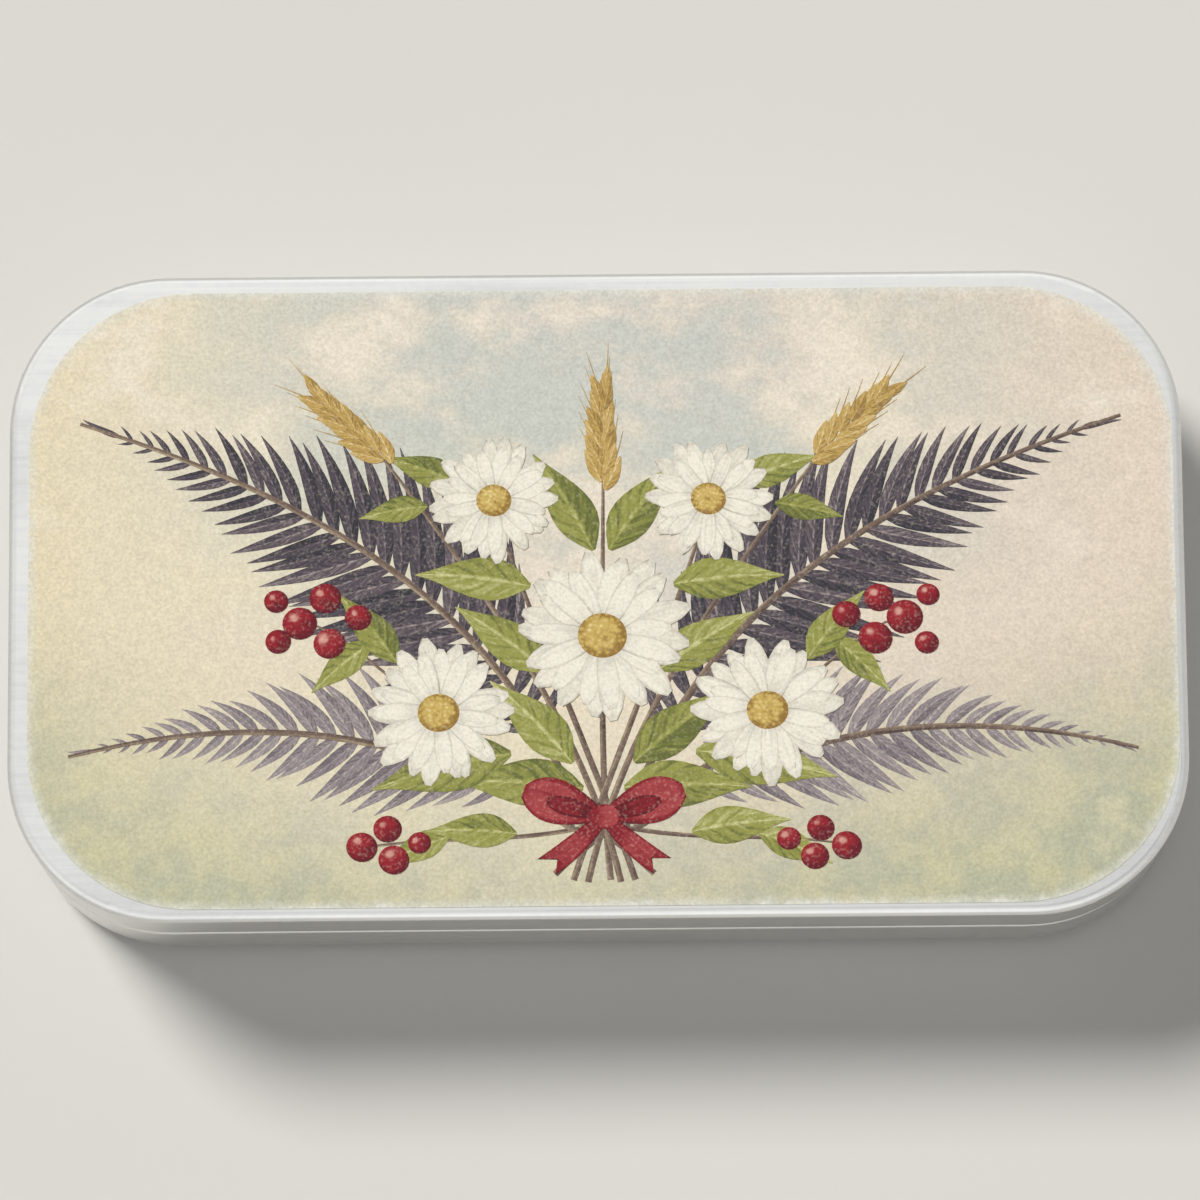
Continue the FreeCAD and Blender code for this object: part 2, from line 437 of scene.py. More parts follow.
@dataclass(frozen=True)
class WashFinish:
    """The label's ground: a cloudy wash of cream, peach and grey-blue, sage towards the foot."""

    half_length: float
    half_width: float
    corner: float
    centre: Spot
    cream: str = "E7DDC2"
    ivory: str = "E9DCCC"
    peach: str = "E0D1C0"
    straw: str = "E6D9B6"
    grey_blue: str = "C3C9C3"
    pale_cloud: str = "EDE6D6"
    sage: str = "C6C49F"
    grey_sage: str = "AFB49C"
    pale_sage: str = "D8D3AE"
    rubbed: str = "E0E0D6"
    gloss: float = 0.78
    broad_scale: float = 26.0
    puff_scale: float = 58.0
    puff_stretch: Triple = (1.0, 1.5, 1.0)
    dab_scale: float = 150.0
    rag_scale: float = 700.0
    rag_depth: float = 1.4
    patch_scale: float = 120.0

    def material(self) -> bpy.types.Material:
        """Build the wash.

        Returns:
            The finished material.
        """
        board = NodeBoard.for_material("label_wash")
        point = board.place()
        x, y, _ = board.parts(point)
        across = (x - self.centre[0]) / self.half_length
        up = (y - self.centre[1]) / self.half_width
        broad = board.noise(point, self.broad_scale, 3.0, 0.55)
        drift = (broad - 0.5) * 1.3
        puffs = board.noise(board.stretched(point, self.puff_stretch), self.puff_scale, 5.0, 0.62)
        dabs = board.noise(point, self.dab_scale, 4.0, 0.65)
        tint = board.mix(broad.rise(0.36, 0.62), colour(self.cream), colour(self.ivory))
        tint = board.mix((across + drift).rise(0.0, 0.9) * 0.8, tint, colour(self.peach))
        tint = board.mix((drift - across).rise(0.4, 1.1) * 0.75, tint, colour(self.straw))
        inner = (abs(across) + drift * 0.4).rise(1.0, 0.25)
        haze = puffs.rise(0.36, 0.58) * (up + drift).rise(-0.5, 0.5) * inner
        tint = board.mix(haze * 0.8, tint, colour(self.grey_blue))
        glow = puffs.rise(0.5, 0.36) * (up + drift).rise(-0.3, 0.6)
        tint = board.mix(glow * 0.6, tint, colour(self.pale_cloud))
        ground = board.mix(dabs.rise(0.36, 0.62), colour(self.sage), colour(self.grey_sage))
        ground = board.mix(dabs.rise(0.56, 0.74) * 0.7, ground, colour(self.pale_sage))
        foot = (across * across * 0.42 - up * 0.78 + drift * 0.7).rise(0.2, 1.05)
        tint = board.mix(foot * 0.9, tint, ground)
        tint = board.mix(self.edge(board, point, x, y), tint, colour(self.rubbed))
        return GRAIN.finish(board, tint, self.gloss, 0.0)

    def edge(self, board: NodeBoard, point: Socket, x: Term, y: Term) -> Term:
        """Where the print fades towards the paper's cut edge and the edge is rubbed.

        Args:
            board: The material's nodes.
            point: The point on the piece.
            x: The point's first value.
            y: The point's second value.

        Returns:
            One where the edge is bare, zero inside, uneven between.
        """
        out_x = (abs(x - self.centre[0]) - (self.half_length - self.corner)).most(0.0)
        out_y = (abs(y - self.centre[1]) - (self.half_width - self.corner)).most(0.0)
        inset = self.corner - (out_x * out_x + out_y * out_y) ** 0.5
        ragged = inset / MM - (board.noise(point, self.rag_scale, 3.0, 0.6) - 0.5) * self.rag_depth
        patches = board.noise(point, self.patch_scale, 3.0, 0.6)
        faded = ragged.rise(1.1, -0.2) * 0.65
        return faded + ragged.rise(0.4, 0.0) * patches.rise(0.4, 0.6) * 0.35


class InkShape(Enum):
    """How the drawing inside a printed shape runs."""

    BLADE = "veins that slant from a middle rib"
    PETAL = "fine lines along the petal"
    DISC = "a round body lit from the upper left"
    EYE = "crowded florets, darker at the rim"
    STEM = "a plain stroke, darker along one side"


class InkChart:
    """Where a point lies along and over its printed shape, and the tone of that shape."""

    def __init__(self, board: NodeBoard) -> None:
        """Read the shape's own map and its tone.

        Args:
            board: The material's nodes.
        """
        chart = board.node("ShaderNodeUVMap", {"uv_map": "UVMap"}, {}).outputs[0]
        self.board = board
        self.along, self.over, _ = board.parts(chart)
        self.tone = board.term("ShaderNodeAttribute", {"attribute_name": "tone"}, {}, "Fac")

    def cloud(self, along: Term, over: Term, tone_step: float, rough: float = 0.5) -> Term:
        """Noise on the map, another cut of it for each tone."""
        return self.board.noise(self.board.joined(along, over, self.tone * tone_step), 1.0, 2.0, rough)

    def out_from(self, middle: Spot) -> Term:
        """The distance from a point of the map.

        Args:
            middle: The point, as shares along and over the shape.

        Returns:
            The distance, as a share of the map's width.
        """
        right = self.along - middle[0]
        high = self.over - middle[1]
        return (right * right + high * high) ** 0.5


@dataclass(frozen=True)
class InkFinish:
    """Printed ink in three tones, drawn inside each shape by its own map."""

    name: str
    shape: InkShape
    dark: str
    middle: str
    light: str
    lines: float = 9.0
    speckle_scale: float = 1300.0
    speckle_share: float = 0.55
    gloss: float = 0.74
    bare: float = 0.18

    def material(self) -> bpy.types.Material:
        """Build the ink.

        Returns:
            The finished material.
        """
        board = NodeBoard.for_material(self.name)
        drawing = {
            InkShape.BLADE: self.blade,
            InkShape.PETAL: self.petal,
            InkShape.DISC: self.disc,
            InkShape.EYE: self.eye,
            InkShape.STEM: self.stem,
        }[self.shape]
        speckle = board.noise(board.place(), self.speckle_scale, 3.0, 0.65)
        level = drawing(InkChart(board)) + (speckle - 0.5) * self.speckle_share
        tint = board.mix(level.rise(0.0, 0.5), colour(self.dark), colour(self.middle))
        tint = board.mix(level.rise(0.5, 1.0), tint, colour(self.light))
        return GRAIN.finish(board, tint, self.gloss, self.bare)

    def blade(self, chart: InkChart) -> Term:
        """A leaf: a pale rib, dark slanting veins, one half in the light.

        Args:
            chart: The shape's map.

        Returns:
            The ink's level, dark at zero and light at one.
        """
        side = chart.over - 0.5
        edge = abs(side) * 2.0
        slant = chart.along * self.lines - edge * 1.7
        wobble = chart.cloud(chart.along * 5.0, chart.over * 3.0, 40.0)
        veins = ((slant + wobble * 0.8) * math.tau).sine()
        hatch = chart.cloud(slant * 3.2, chart.over * 2.0, 25.0, 0.6)
        lit = side.rise(-0.12, 0.12) * 0.2
        level = 0.16 + chart.tone * 0.3 + lit + (hatch - 0.5) * 0.8 - veins.rise(0.2, 0.95) * 0.2
        level = level + edge.rise(0.16, 0.03) * 0.34 - edge.rise(0.78, 1.0) * 0.12
        return level + chart.along.rise(0.5, 1.0) * 0.18

    def petal(self, chart: InkChart) -> Term:
        """A petal: pale, grooved along its length, shaded at its foot and rim.

        Args:
            chart: The shape's map.

        Returns:
            The ink's level, dark at zero and light at one.
        """
        edge = abs(chart.over - 0.5) * 2.0
        grooves = chart.cloud(chart.along * 1.2, chart.over * self.lines, 30.0, 0.55)
        level = 0.84 + (chart.tone - 0.5) * 0.34 + (grooves - 0.5) * 0.8
        level = level - chart.along.rise(0.6, 0.1) * 0.45 - edge.rise(0.7, 1.0) * 0.45
        return level - chart.along.rise(0.88, 1.0) * 0.3

    @staticmethod
    def disc(chart: InkChart) -> Term:
        """A berry: bright to the upper left, dark to the lower right.

        Args:
            chart: The shape's map.

        Returns:
            The ink's level, dark at zero and light at one.
        """
        rim = chart.out_from((0.5, 0.5)).rise(0.3, 0.5)
        glint = chart.out_from((0.35, 0.66)).rise(0.2, 0.03)
        blush = chart.cloud(chart.along * 3.0, chart.over * 3.0, 50.0)
        level = 0.26 + chart.tone * 0.2 + (chart.over - chart.along) * 0.5
        return level + glint * 0.42 - rim * 0.26 + (blush - 0.5) * 0.5

    def eye(self, chart: InkChart) -> Term:
        """A flower's eye: crowded florets, lit from the upper left.

        Args:
            chart: The shape's map.

        Returns:
            The ink's level, dark at zero and light at one.
        """
        out = chart.out_from((0.5, 0.5))
        spread = chart.board.joined(chart.along, chart.over, chart.tone)
        florets = chart.board.cells(spread, self.lines).rise(0.75, 0.1)
        level = 0.36 + florets * 0.4 + (chart.over - chart.along) * 0.22
        return level - out.rise(0.26, 0.5) * 0.4 - out.rise(0.16, 0.02) * 0.2

    @staticmethod
    def stem(chart: InkChart) -> Term:
        """A stroke: lit along its upper side, uneven along its length."""
        uneven = chart.cloud(chart.along * 14.0, chart.over * 2.0, 20.0)
        return 0.2 + chart.over.rise(0.3, 0.8) * 0.4 + (uneven - 0.5) * 0.9 + chart.tone * 0.2


class Bench:
    """The modelling tools, used as by hand: selected, edited and applied."""

    @staticmethod
    def clear() -> None:
        """Deselect every object."""
        bpy.ops.object.select_all(action="DESELECT")

    @classmethod
    def choose(cls, *pieces: Piece) -> None:
        """Select some objects alone.

        Args:
            *pieces: The objects; the first one is made active.
        """
        cls.clear()
        for piece in pieces:
            piece.select_set(True)
        bpy.context.view_layer.objects.active = pieces[0]

    @classmethod
    @contextmanager
    def editing(cls, piece: Piece) -> Iterator[None]:
        """Edit one object's mesh, with nothing in it selected at first.

        Args:
            piece: The object to edit.

        Yields:
            Nothing; the mesh is in edit mode meanwhile.
        """
        cls.choose(piece)
        bpy.ops.object.mode_set(mode="EDIT")
        bpy.ops.mesh.select_mode(type="VERT")
        bpy.ops.mesh.select_all(action="DESELECT")
        yield
        bpy.ops.object.mode_set(mode="OBJECT")

    @staticmethod
    def pick_vertices(piece: Piece, wanted: Callable[[Vector], bool]) -> None:
        """In edit mode, select some vertices and no others.

        Args:
            piece: The object in edit mode.
            wanted: The test of a vertex's place.
        """
        shape = bmesh.from_edit_mesh(piece.data)
        for vertex in shape.verts:
            vertex.select_set(wanted(vertex.co))
        shape.select_flush(True)
        shape.select_flush(False)
        bmesh.update_edit_mesh(piece.data)

    @staticmethod
    def pick_edges(piece: Piece, wanted: Callable[[Vector, Vector], bool]) -> None:
        """In edit mode, select some edges and no others.

        Args:
            piece: The object in edit mode.
            wanted: The test of the places of an edge's two ends.
        """
        bpy.ops.mesh.select_mode(type="EDGE")
        shape = bmesh.from_edit_mesh(piece.data)
        for edge in shape.edges:
            edge.select_set(wanted(edge.verts[0].co, edge.verts[1].co))
        bmesh.update_edit_mesh(piece.data)

    @classmethod
    def settle(cls, *pieces: Piece) -> None:
        """Put the objects' places, turns and scales into their meshes."""
        cls.choose(*pieces)
        bpy.ops.object.transform_apply(location=True, rotation=True, scale=True)

    @classmethod
    def modify(cls, piece: Piece, kind: str, **settings: Any) -> None:
        """Add a modifier and apply it.

        Args:
            piece: The object to change.
            kind: The modifier's type.
            **settings: The modifier's properties.
        """
        cls.choose(piece)
        modifier = piece.modifiers.new(kind.lower(), kind)
        for key, value in settings.items():
            setattr(modifier, key, value)
        bpy.ops.object.modifier_apply(modifier=modifier.name)

    @classmethod
    def fuse(cls, name: str, pieces: list[Piece]) -> Piece:
        """Make one object of several.

        Args:
            name: The new object's name.
            pieces: The objects, which are used up.

        Returns:
            The joined object.
        """
        cls.settle(*pieces)
        if len(pieces) > 1:
            bpy.ops.object.join()
        piece = bpy.context.view_layer.objects.active
        piece.name = name
        piece.data.name = name
        return piece

    @staticmethod
    def discard(*pieces: Piece) -> None:
        """Take models away once their copies are laid."""
        for piece in pieces:
            bpy.data.objects.remove(piece)


@dataclass
class Blade:
    """A flat leaf, petal or grain that lies along X with its foot at the origin."""

    length: float
    width: float
    width_shares: Shares
    sickle: float = 0.0
    notch: float = 0.0

    ROWS = 2

    def model(self) -> Piece:
        """Model the outline from a grid, column by column.

        Returns:
            The flat shape, with its map along and across it.
        """
        length = self.length * MM
        width = self.width * MM
        columns = len(self.width_shares) - 1
        step = length / columns
        tip_x = length - step / 4
        Bench.clear()
        bpy.ops.mesh.primitive_grid_add(x_subdivisions=columns, y_subdivisions=self.ROWS, size=1.0)
        piece = bpy.context.view_layer.objects.active
        piece.location = (length / 2, 0.0, 0.0)
        piece.scale = (length, width, 1.0)
        Bench.settle(piece)
        with Bench.editing(piece):
            Bench.pick_vertices(piece, lambda at: at.x > tip_x and abs(at.y) < width / 4)
            bpy.ops.transform.translate(value=(-self.notch * MM, 0.0, 0.0))
            for index, share in enumerate(self.width_shares):
                column_x = index * step
                along = index / columns
                Bench.pick_vertices(piece, lambda at: abs(at.x - column_x) < step / 4)
                bpy.ops.transform.resize(value=(1.0, share, 1.0), center_override=(column_x, 0.0, 0.0))
                bpy.ops.transform.translate(value=(0.0, self.sickle * MM * along * along, 0.0))
        return piece


@dataclass
class Disc:
    """A flat round shape, such as a berry or a flower's eye, a little uneven."""

    radius: float
    corners: int = 20
    squeeze: float = 0.94

    def model(self) -> Piece:
        """Model the disc from a filled circle.

        Returns:
            The flat shape, with its map over the whole disc.
        """
        Bench.clear()
        radius = self.radius * MM
        bpy.ops.mesh.primitive_circle_add(vertices=self.corners, radius=radius, fill_type="NGON")
        piece = bpy.context.view_layer.objects.active
        with Bench.editing(piece):
            bpy.ops.mesh.select_all(action="SELECT")
            bpy.ops.mesh.poke()
            bpy.ops.mesh.select_all(action="SELECT")
            bpy.ops.transform.resize(value=(1.0, self.squeeze, 1.0), center_override=(0.0, 0.0, 0.0))
        return piece


@dataclass
class LabelSheet:
    """The paper label on the lid: a thin sheet with round corners, where its solid lies."""

    node: str = "lid_label"
    body: str = "lid"
    slot: str = "label_paper"
    paper_thickness: float = 0.1 * MM
    corner: float = 16.0 * MM
    corner_steps: int = 28
    edge_round: float = 0.03 * MM
    edge_steps: int = 2

    def __post_init__(self) -> None:
        """Take the label's place and size from its solid."""
        low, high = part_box(self.node)
        self.centre = ((low.x + high.x) / 2, (low.y + high.y) / 2)
        self.half_length = (high.x - low.x) / 2
        self.half_width = (high.y - low.y) / 2
        self.foot = low.z
        self.paper_top = low.z + self.paper_thickness

    def carry(self, piece: Piece) -> None:
        """Let a piece move with the lid."""
        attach(piece, self.body)

    def build(self) -> list[Piece]:
        """Cut the sheet from a block, round its corners and ease its upper edge.

        Returns:
            The finished piece.
        """
        middle = self.foot + self.paper_thickness / 2
        Bench.clear()
        bpy.ops.mesh.primitive_cube_add(size=1.0)
        piece = bpy.context.view_layer.objects.active
        piece.scale = (2 * self.half_length, 2 * self.half_width, self.paper_thickness)
        piece.location = (self.centre[0], self.centre[1], middle)
        Bench.settle(piece)
        with Bench.editing(piece):
            Bench.pick_edges(piece, lambda a, b: abs(a.z - b.z) > self.paper_thickness / 2)
            bpy.ops.mesh.bevel(offset=self.corner, segments=self.corner_steps, affect="EDGES")
            Bench.pick_edges(piece, lambda a, b: a.z > middle and b.z > middle)
            bpy.ops.mesh.bevel(offset=self.edge_round, segments=self.edge_steps, affect="EDGES")
        piece.name = "label_paper_sheet"
        piece.data.name = piece.name
        wash = WashFinish(self.half_length, self.half_width, self.corner, self.centre)
        piece.data.materials.append(wash.material())
        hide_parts(self.node)
        self.carry(piece)
        return [piece]


@dataclass
class Film:
    """One film of ink: flat shapes laid side by side or lapping, then joined and thickened.

    The film's foot is sunk into the paper, and the levels of its pile stand one lap apart.
    """

    name: str
    height: float
    seed: int
    shapes: list[Piece] = field(default_factory=list)

    SINK = 0.012 * MM
    LAP = 0.0012 * MM
    CURVE_STEPS = 48

    def __post_init__(self) -> None:
        """Start this film's own run of random draws."""
        self.draw = random.Random(self.seed)

    def lay(
        self, model: Piece, place: Spot, turn: float, level: int = 0, size: float = 1.0,
        wide: float = 1.0, tone: float | None = None,
    ) -> None:
        """Lay one copy of a shape, with its own mesh.

        Args:
            model: The shape to copy.
            place: Where its foot goes.
            turn: Its direction, from X towards Y.
            level: Its place in the pile, because shapes on one level don't lap.
            size: Its scale.
            wide: Its further scale across.
            tone: How pale it is printed, mostly 0 to 1; drawn at random if not given.
        """
        copy = model.copy()
        copy.data = model.data.copy()
        bpy.context.scene.collection.objects.link(copy)
        copy.matrix_world = (
            Matrix.Translation((place[0] * MM, place[1] * MM, level * self.LAP))
            @ Matrix.Rotation(math.radians(turn), 4, "Z")
            @ Matrix.Diagonal((size, size * wide, 1.0, 1.0))
        )
        shade = self.draw.random() if tone is None else tone
        attribute = copy.data.attributes.new("tone", "FLOAT", "POINT")
        attribute.data.foreach_set("value", [shade] * len(copy.data.vertices))
        self.shapes.append(copy)

    def along(self, path: list[Spot]) -> Piece:
        """Bend the shapes laid so far, which run along X, onto a curve.

        Args:
            path: The curve's start, its two handles and its end.

        Returns:
            The bent shapes as one object, now the film's only one.
        """
        strip = Bench.fuse(f"{self.name}_strip", self.shapes)
        Bench.clear()
        bpy.ops.curve.primitive_bezier_curve_add()
        guide = bpy.context.view_layer.objects.active
        guide.data.dimensions = "2D"
        guide.data.use_stretch = True
        guide.data.use_deform_bounds = True
        guide.data.resolution_u = self.CURVE_STEPS
        start, end = guide.data.splines[0].bezier_points
        spots = [Vector((x * MM, y * MM, 0.0)) for x, y in path]
        for knob, spot, before, after in (
            (start, spots[0], 2 * spots[0] - spots[1], spots[1]),
            (end, spots[3], spots[2], 2 * spots[3] - spots[2]),
        ):
            knob.handle_left_type = "FREE"
            knob.handle_right_type = "FREE"
            knob.co = spot
            knob.handle_left = before
            knob.handle_right = after
        Bench.modify(strip, "CURVE", object=guide, deform_axis="POS_X")
        Bench.discard(guide)
        self.shapes = [strip]
        return strip

    def print_on(self, sheet: LabelSheet, ink: InkFinish) -> Piece:
        """Join and place the film, and thicken it down into the label.

        Args:
            sheet: The label that carries it.
            ink: Its finish.

        Returns:
            The finished piece.
        """
        height = self.height * MM
        piece = Bench.fuse(self.name, self.shapes)
        piece.location = (sheet.centre[0], sheet.centre[1], sheet.paper_top + height)
        Bench.settle(piece)
        Bench.modify(piece, "SOLIDIFY", thickness=height + self.SINK, offset=-1.0)
        with Bench.editing(piece):
            bpy.ops.mesh.select_all(action="SELECT")
            bpy.ops.mesh.normals_make_consistent(inside=False)
        piece.data.materials.append(ink.material())
        sheet.carry(piece)
        return piece


class Sweep(Enum):
    """The line of a frond to the right: its start, two handles and end."""

    HIGH = ((2.0, -23.0), (9.0, -1.0), (28.0, 10.0), (51.0, 17.5))
    LOW = ((3.0, -23.0), (16.0, -14.0), (32.0, -10.5), (52.0, -15.5))

    def path(self, mirror: float) -> list[Spot]:
        """The line, to the right for a mirror of 1 and to the left for -1."""
        return [(x * mirror, y) for x, y in self.value]


@dataclass
class FernFronds:
    """A fern frond to each side, with pairs of lapping leaflets above a bare foot."""

    name: str
    sweep: Sweep
    height: float
    seed: int
    ink: InkFinish
    pairs: int
    longest: float
    broad: float
    fullest: float
    bare_foot: float = 0.17
    foot_size: float = 0.45
    least_size: float = 0.13
    taper: float = 0.85
    slim_wider: float = 0.3
    lean_foot: float = 68.0
    lean_tip: float = 36.0
    curl: float = 1.7
    arc_share: float = 1.08
    reach_share: float = 0.96
    stagger: float = 0.006
    end_places: Spot = (0.0, 0.955)
    end_size: float = 0.3
    reach_play: Spot = (-0.003, 0.003)
    size_play: Spot = (0.93, 1.05)
    turn_play: Spot = (-4.0, 4.0)
    leaflet_shares: Shares = (0.42, 0.84, 1.0, 0.98, 0.88, 0.72, 0.52, 0.28, 0.03)

    LEVELS = 6

    def build(self, sheet: LabelSheet) -> list[Piece]:
        """Draw the two fronds.

        Args:
            sheet: The label that carries them.

        Returns:
            The film of each frond.
        """
        curls = [
            Blade(self.longest, self.broad, self.leaflet_shares, bend).model()
            for bend in (-self.curl, self.curl)
        ]
        films = []
        for side, mirror in (("right", 1.0), ("left", -1.0)):
            film = Film(f"{self.name}_{side}", self.height, self.seed + int(mirror))
            path = self.sweep.path(mirror)
            length = math.dist(path[0], path[3]) * self.arc_share
            for index in range(self.pairs):
                self.leaflet_pair(film, curls, index, length)
            for end in self.end_places:
                film.lay(curls[0], (length * end, 0.0), 0.0, size=self.end_size)
            film.along(path)
            films.append(film.print_on(sheet, self.ink))
        Bench.discard(*curls)
        return films

    def leaflet_pair(self, film: Film, curls: list[Piece], index: int, length: float) -> None:
        """Lay two leaflets across from each other on a straight frond.

        Args:
            film: The film to lay them on.
            curls: The leaflet bent to the right and to the left.
            index: Which pair it is, from the foot.
            length: The straight frond's length.
        """
        along = self.bare_foot + (1.0 - self.bare_foot) * index / self.pairs
        if along < self.fullest:
            grown_in = (along - self.bare_foot) / (self.fullest - self.bare_foot)
            size = self.foot_size + (1.0 - self.foot_size) * math.sin(grown_in * math.pi / 2)
        else:
            size = max(self.least_size, ((1.0 - along) / (1.0 - self.fullest)) ** self.taper)
        lean = self.lean_foot + (self.lean_tip - self.lean_foot) * along
        for order, (side, curl) in enumerate(((1.0, curls[0]), (-1.0, curls[1]))):
            share = along * self.reach_share + order * self.stagger
            reach = (share + film.draw.uniform(*self.reach_play)) * length
            grown = size * film.draw.uniform(*self.size_play)
            turn = side * (lean + film.draw.uniform(*self.turn_play))
            wide = 1.0 + self.slim_wider * (1.0 - grown)
            film.lay(curl, (reach, 0.0), turn, (2 * index + order) % self.LEVELS, grown, wide)


@dataclass
class StemStrokes:
    """The stems, tied at one point and splayed below it."""

    height: float = 0.026
    seed: int = 31
    stem_width: float = 0.62
    rib_width: float = 0.72
    sprig_width: float = 0.42
    stroke_shares: Shares = tuple(1.0 - 0.55 * (step / 24) ** 2 for step in range(25))
    ink: InkFinish = InkFinish("stem_ink", InkShape.STEM, "473B36", "77655A", "A8967C")

    LEVELS = 8
    SEEDS = 1000
    MIDDLE = ((0.6, -28.0), (-0.4, -18.0), (0.0, -6.0), (0.2, 11.5))
    STEMS = (
        ((-4.8, -27.4), (1.5, -21.0), (12.0, -18.0), (16.0, -11.0)),
        ((-3.0, -28.0), (1.0, -16.0), (8.0, 0.0), (10.5, 9.0)),
        ((-1.6, -28.2), (2.0, -12.0), (14.0, 4.0), (21.5, 14.0)),
    )
    SPRIGS = (
        ((0.0, -22.5), (12.0, -18.0), (24.0, -3.0), (29.0, -2.5)),
        ((0.5, -22.5), (8.0, -24.5), (16.0, -23.5), (23.0, -24.6)),
    )

    def build(self, sheet: LabelSheet) -> list[Piece]:
        """Draw the stems of the flowers and ears, the sprigs of the berries and the fronds' ribs.

        Args:
            sheet: The label that carries them.

        Returns:
            The film.
        """
        film = Film("stem_strokes", self.height, self.seed)
        film.shapes.append(self.stroke(film, list(self.MIDDLE), self.stem_width))
        for mirror in (1.0, -1.0):
            for paths, width in ((self.STEMS, self.stem_width), (self.SPRIGS, self.sprig_width)):
                for path in paths:
                    film.shapes.append(self.stroke(film, [(x * mirror, y) for x, y in path], width))
            for sweep in Sweep:
                film.shapes.append(self.stroke(film, sweep.path(mirror), self.rib_width))
        for level, shape in enumerate(film.shapes):
            shape.location.z = level % self.LEVELS * Film.LAP
        return [film.print_on(sheet, self.ink)]

    def stroke(self, film: Film, path: list[Spot], width: float) -> Piece:
        """Draw one stem along a curve.

        Args:
            film: The film that it is for.
            path: Its start, two handles and end.
            width: Its width.

        Returns:
            The flat stroke.
        """
        model = Blade(math.dist(path[0], path[3]), width, self.stroke_shares).model()
        line = Film("stroke", 0.0, film.draw.randrange(self.SEEDS))
        line.lay(model, (0.0, 0.0), 0.0)
        Bench.discard(model)
        return line.along(path)


@dataclass
class OliveLeaves:
    """Broad leaves among the flowers, the same to both sides: x, y, direction and size of each."""

    height: float = 0.037
    seed: int = 47
    length: float = 13.0
    width: float = 5.0
    curl: float = 1.5
    turn_play: Spot = (-5.0, 5.0)
    size_play: Spot = (0.93, 1.07)
    leaf_shares: Shares = (0.1, 0.5, 0.82, 0.98, 1.0, 0.92, 0.77, 0.58, 0.36, 0.17, 0.03)
    ink: InkFinish = InkFinish("olive_leaf_ink", InkShape.BLADE, "646A38", "96984F", "CBC98F", 6.0)

    LEVELS = 8
    RIGHT_LEAVES = (
        (2.0, -19.0, 8.0, 0.95),
        (3.0, -16.5, 48.0, 0.9),
        (9.0, -15.5, -4.0, 1.05),
        (5.5, -7.5, 38.0, 0.85),
        (7.0, 1.0, 10.0, 0.82),
        (0.8, 4.5, 64.0, 0.85),
        (8.5, -23.4, 12.0, 0.7),
        (20.0, -6.5, 54.0, 0.66),
        (22.5, -4.5, -38.0, 0.6),
        (13.5, 11.0, 28.0, 0.62),
        (15.0, -23.6, -16.0, 0.55),
        (17.0, 9.0, -6.0, 0.5),
    )

    def build(self, sheet: LabelSheet) -> list[Piece]:
        """Draw the leaves.

        Args:
            sheet: The label that carries them.

        Returns:
            The film.
        """
        film = Film("olive_leaves", self.height, self.seed)
        curls = {
            mirror: Blade(self.length, self.width, self.leaf_shares, -mirror * self.curl).model()
            for mirror in (1.0, -1.0)
        }
        for level, (x, y, turn, size) in enumerate(self.RIGHT_LEAVES):
            for mirror, curl in curls.items():
                heading = turn if mirror > 0 else 180.0 - turn
                heading += film.draw.uniform(*self.turn_play)
                grown = size * film.draw.uniform(*self.size_play)
                film.lay(curl, (x * mirror, y), heading, level % self.LEVELS, grown)
        Bench.discard(*curls.values())
        return [film.print_on(sheet, self.ink)]


@dataclass
class WheatEars:
    """Three ears of wheat, grain by grain, with their beards: x, y and direction of each ear."""

    height: float = 0.049
    seed: int = 59
    grains: int = 13
    pitch: float = 0.8
    offset: float = 0.16
    grain_length: float = 3.5
    grain_width: float = 1.4
    grain_bend: float = 0.25
    beard_length: float = 6.2
    beard_width: float = 0.15
    beard_bend: float = 0.5
    beard_tone: float = 0.5
    beard_lean: float = 0.75
    foot_lean: float = 27.0
    taper: float = 0.014
    lean_play: Spot = (-4.0, 4.0)
    size_play: Spot = (0.92, 1.05)
    grain_shares: Shares = (0.3, 0.75, 1.0, 0.96, 0.78, 0.48, 0.1)
    beard_shares: Shares = (1.0, 0.9, 0.75, 0.5, 0.1)
    ink: InkFinish = InkFinish("wheat_ink", InkShape.BLADE, "8F7340", "C2A15C", "E2D09C", 4.0)

    BEARD_LEVELS = 3
    GRAIN_LEVELS = 4
    EARS = ((0.2, 10.5, 90.0), (-20.6, 13.2, 137.0), (20.6, 13.2, 43.0))

    def build(self, sheet: LabelSheet) -> list[Piece]:
        """Draw the ears.

        Args:
            sheet: The label that carries them.

        Returns:
            The film.
        """
        film = Film("wheat_ears", self.height, self.seed)
        grain = Blade(self.grain_length, self.grain_width, self.grain_shares, self.grain_bend).model()
        beard = Blade(self.beard_length, self.beard_width, self.beard_shares, self.beard_bend).model()
        for foot_x, foot_y, turn in self.EARS:
            ahead = (math.cos(math.radians(turn)), math.sin(math.radians(turn)))
            for index in range(self.grains):
                side = 1.0 if index % 2 else -1.0
                reach = index * self.pitch
                aside = side * self.offset
                x = foot_x + reach * ahead[0] - aside * ahead[1]
                y = foot_y + reach * ahead[1] + aside * ahead[0]
                lean = side * (self.foot_lean - index) + film.draw.uniform(*self.lean_play)
                slim = 1.0 - self.taper * index
                heading = turn + lean * self.beard_lean
                film.lay(beard, (x, y), heading, index % self.BEARD_LEVELS, slim, tone=self.beard_tone)
                level = self.BEARD_LEVELS + index % self.GRAIN_LEVELS
                grown = slim * film.draw.uniform(*self.size_play)
                film.lay(grain, (x, y), turn + lean, level, grown)
        Bench.discard(grain, beard)
        return [film.print_on(sheet, self.ink)]


